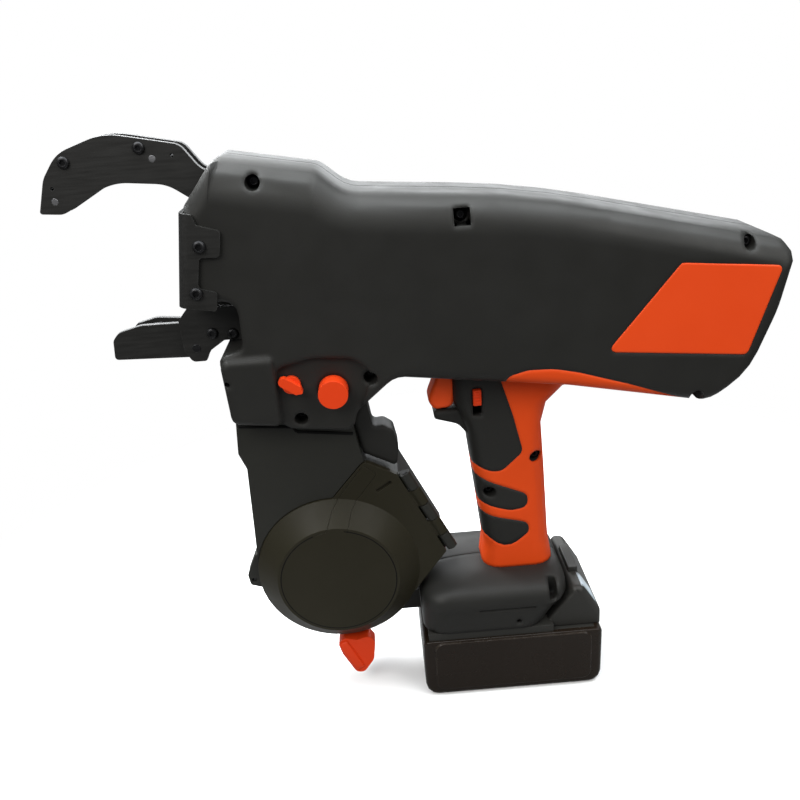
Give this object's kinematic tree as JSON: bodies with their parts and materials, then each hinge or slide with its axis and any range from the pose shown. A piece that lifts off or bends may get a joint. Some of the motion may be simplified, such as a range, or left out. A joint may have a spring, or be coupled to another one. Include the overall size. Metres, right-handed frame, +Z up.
{
  "type": "rebar tying tool",
  "caption": "Pistol shaped battery tool that feeds wire from a round magazine through hooked jaws and twists it round crossing rebar, on a slide-on battery pack.",
  "frame": {"origin": "centre of the battery pack's base face, on which the tool stands", "axes": "+X to the rear along the body, so the jaws point to -X; +Z up; -Y is the user's left side"},
  "size_m": [0.3798, 0.0821, 0.3435],
  "materials": {
    "black_plastic": "fine grained charcoal moulding",
    "orange_rubber": "soft matte skin",
    "orange_plastic": "satin moulding",
    "red_plastic": "satin moulding",
    "black_steel": "black oxide, satin",
    "dark_steel": "dark fasteners",
    "bright_steel": "bright ground steel",
    "grey_metal": "cast housing",
    "green_board": "lacquered board",
    "brass": "turned brass",
    "battery_gloss": "brown black gloss",
    "cell_metal": "wrapped cells"
  },
  "bodies": {
    "housing": {"left_shell": "black_plastic", "right_shell": "black_plastic", "left_grip": "orange_rubber", "right_grip": "orange_rubber", "rear_panel": "orange_plastic", "shell_screws": "dark_steel", "front_plate": "black_steel", "front_plate_screws": "dark_steel", "upper_jaw_left_plate": "black_steel", "upper_jaw_right_plate": "black_steel", "upper_jaw_guide": "dark_steel", "upper_jaw_screws": "dark_steel", "upper_jaw_pins": "bright_steel", "jaw_bracket": "black_steel", "bracket_screws": "dark_steel", "lower_jaw_pin": "bright_steel", "lower_jaw_spring": "bright_steel", "twist_bearing": "bright_steel", "twist_gearbox": "grey_metal", "twist_motor": "grey_metal", "control_board": "green_board", "feed_motor": "grey_metal", "lower_wire_guide": "brass", "upper_wire_guide": "brass", "wire_cutter": "bright_steel", "button_spring": "bright_steel", "reel_case": "black_plastic", "magazine_bracket": "black_plastic", "lid_hinge_pin": "bright_steel", "reel_spindle": "black_plastic", "lock_lever_pin": "bright_steel", "trigger_spring": "bright_steel", "trigger_switch": "black_plastic", "terminal_block": "black_plastic"},
    "trigger_body": {"trigger": "orange_plastic"},
    "trigger_lock_body": {"trigger_lock": "red_plastic"},
    "button_body": {"feed_lock_button": "red_plastic"},
    "release_lever_body": {"feed_release_lever": "red_plastic"},
    "lower_jaw": {"lower_jaw_left_plate": "black_steel", "lower_jaw_right_plate": "black_steel", "lower_jaw_guide": "dark_steel"},
    "lid": {"reel_lid": "black_plastic", "lid_disc": "black_plastic"},
    "lock_lever": {"lid_lock_lever": "red_plastic"},
    "spool": {"wire_spool": "black_plastic", "wire_winding": "bright_steel"},
    "twister": {"twister_hooks": "bright_steel", "twist_shaft": "bright_steel"},
    "drive_gear": {"feed_drive_gear": "brass"},
    "idler_gear": {"feed_idler_gear": "brass"},
    "battery": {"battery_case": "battery_gloss", "battery_cover": "black_plastic", "battery_cells": "cell_metal"},
    "battery_release": {"battery_button": "black_plastic"}
  },
  "joints": [
    {"name": "trigger_pull", "type": "slide", "parent": "housing", "child": "trigger_body", "axis": [1, 0, 0], "range_m": [0, 0.006], "stiffness_N_per_m": 900, "springref_m": -0.004, "deforming": ["trigger_spring"]},
    {"name": "trigger_lock_slide", "type": "slide", "parent": "housing", "child": "trigger_lock_body", "axis": [0, 0, -1], "range_m": [0, 0.005]},
    {"name": "feed_button_press", "type": "slide", "parent": "housing", "child": "button_body", "axis": [0, 1, 0], "range_m": [0, 0.004], "stiffness_N_per_m": 900, "springref_m": -0.004, "deforming": ["button_spring"]},
    {"name": "release_lever_turn", "type": "hinge", "parent": "housing", "child": "release_lever_body", "pos_m": [-0.11502, -0.033, 0.21573], "axis": [0, 1, 0], "range_deg": [0, 40]},
    {"name": "lower_jaw_swing", "type": "hinge", "parent": "housing", "child": "lower_jaw", "pos_m": [-0.1655, 0, 0.23301], "axis": [0, -1, 0], "range_deg": [0, 25], "stiffness_Nm_per_rad": 0.6, "springref_deg": -20.05},
    {"name": "lid_swing", "type": "hinge", "parent": "housing", "child": "lid", "pos_m": [-0.05932, -0.022, 0.15178], "axis": [-0.4446, 0, 0.8958], "range_deg": [0, 100]},
    {"name": "lock_lever_turn", "type": "hinge", "parent": "housing", "child": "lock_lever", "pos_m": [-0.09652, -0.017, 0.03049], "axis": [0, -1, 0], "range_deg": [0, 60]},
    {"name": "spool_spin", "type": "hinge", "parent": "housing", "child": "spool", "pos_m": [-0.1018, 0, 0.0914], "axis": [0, 1, 0], "continuous": true},
    {"name": "twister_spin", "type": "hinge", "parent": "housing", "child": "twister", "pos_m": [-0.16043, 0, 0.28298], "axis": [0.9871, 0, -0.1601], "continuous": true},
    {"name": "drive_gear_spin", "type": "hinge", "parent": "housing", "child": "drive_gear", "pos_m": [-0.11184, 0, 0.21355], "axis": [0, 1, 0], "continuous": true},
    {"name": "idler_gear_spin", "type": "hinge", "parent": "housing", "child": "idler_gear", "pos_m": [-0.13217, 0, 0.21355], "axis": [0, 1, 0], "continuous": true},
    {"name": "battery_slide", "type": "slide", "parent": "housing", "child": "battery", "axis": [1, 0, 0], "range_m": [0, 0.12]},
    {"name": "battery_button_press", "type": "slide", "parent": "battery", "child": "battery_release", "axis": [0, 0, -1], "range_m": [0, 0.003], "stiffness_N_per_m": 900, "springref_m": -0.004}
  ],
  "couplings": [
    {"joint": "idler_gear_spin", "follows": "drive_gear_spin", "ratio": -1}
  ]
}
